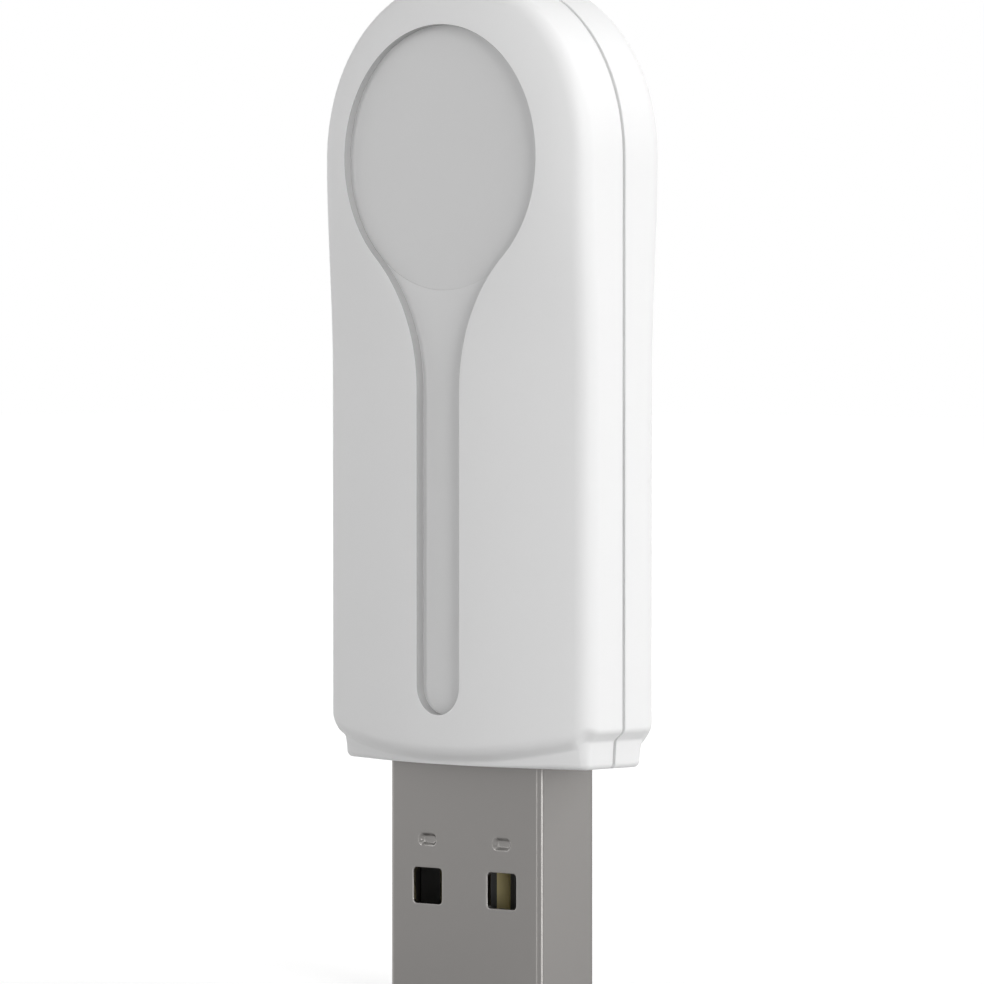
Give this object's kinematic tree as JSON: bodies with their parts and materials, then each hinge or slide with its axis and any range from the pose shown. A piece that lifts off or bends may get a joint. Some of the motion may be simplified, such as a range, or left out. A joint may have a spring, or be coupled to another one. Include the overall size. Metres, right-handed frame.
{
  "type": "wireless usb adapter",
  "caption": "Small white two-shell wireless adapter with a spoon-shaped recess in its rounded face and a metal USB type A plug at its lower end.",
  "frame": {"origin": "centre of the plug's open end, the lowest plane of the part", "axes": "+Z from the plug's open end up to the round head, +X across the width, -Y is the face with the recess"},
  "size_m": [0.0208, 0.0088, 0.0583],
  "materials": {
    "white_abs": "satin moulded",
    "white_inlay": "satin",
    "plug_steel": "nickel plated, dull",
    "contact_gold": "gold plated",
    "insulator_black": "moulded",
    "board_laminate": "solder resist on glass laminate",
    "package_black": "moulded epoxy",
    "ceramic_tan": "fired ceramic with tinned ends",
    "ceramic_dark": "fired ceramic with tinned ends",
    "resistor_black": "glazed ceramic with tinned ends",
    "crystal_can": "welded lid",
    "antenna_ceramic": "white fired ceramic with tinned ends"
  },
  "bodies": {
    "root": {"chip_antenna": "antenna_ceramic", "circuit_board": "board_laminate", "crystal": "crystal_can", "crystal_capacitor_1": "ceramic_tan", "crystal_capacitor_2": "ceramic_tan", "data_contact_minus": "contact_gold", "data_contact_plus": "contact_gold", "data_resistor_minus": "resistor_black", "data_resistor_plus": "resistor_black", "decoupling_capacitor_1": "ceramic_tan", "decoupling_capacitor_2": "ceramic_tan", "face_disc": "white_inlay", "front_shell": "white_abs", "ground_contact": "contact_gold", "matching_capacitor_1": "ceramic_tan", "matching_capacitor_2": "ceramic_tan", "matching_coil_1": "ceramic_dark", "matching_coil_2": "ceramic_dark", "plug_insulator": "insulator_black", "plug_shell": "plug_steel", "power_contact": "contact_gold", "pull_up_resistor": "resistor_black", "radio_chip": "package_black", "rear_shell": "white_abs", "regulator_capacitor": "ceramic_tan", "supply_bead": "ceramic_dark", "supply_capacitor": "ceramic_tan", "surge_suppressor": "package_black", "voltage_regulator": "package_black"}
  },
  "joints": []
}
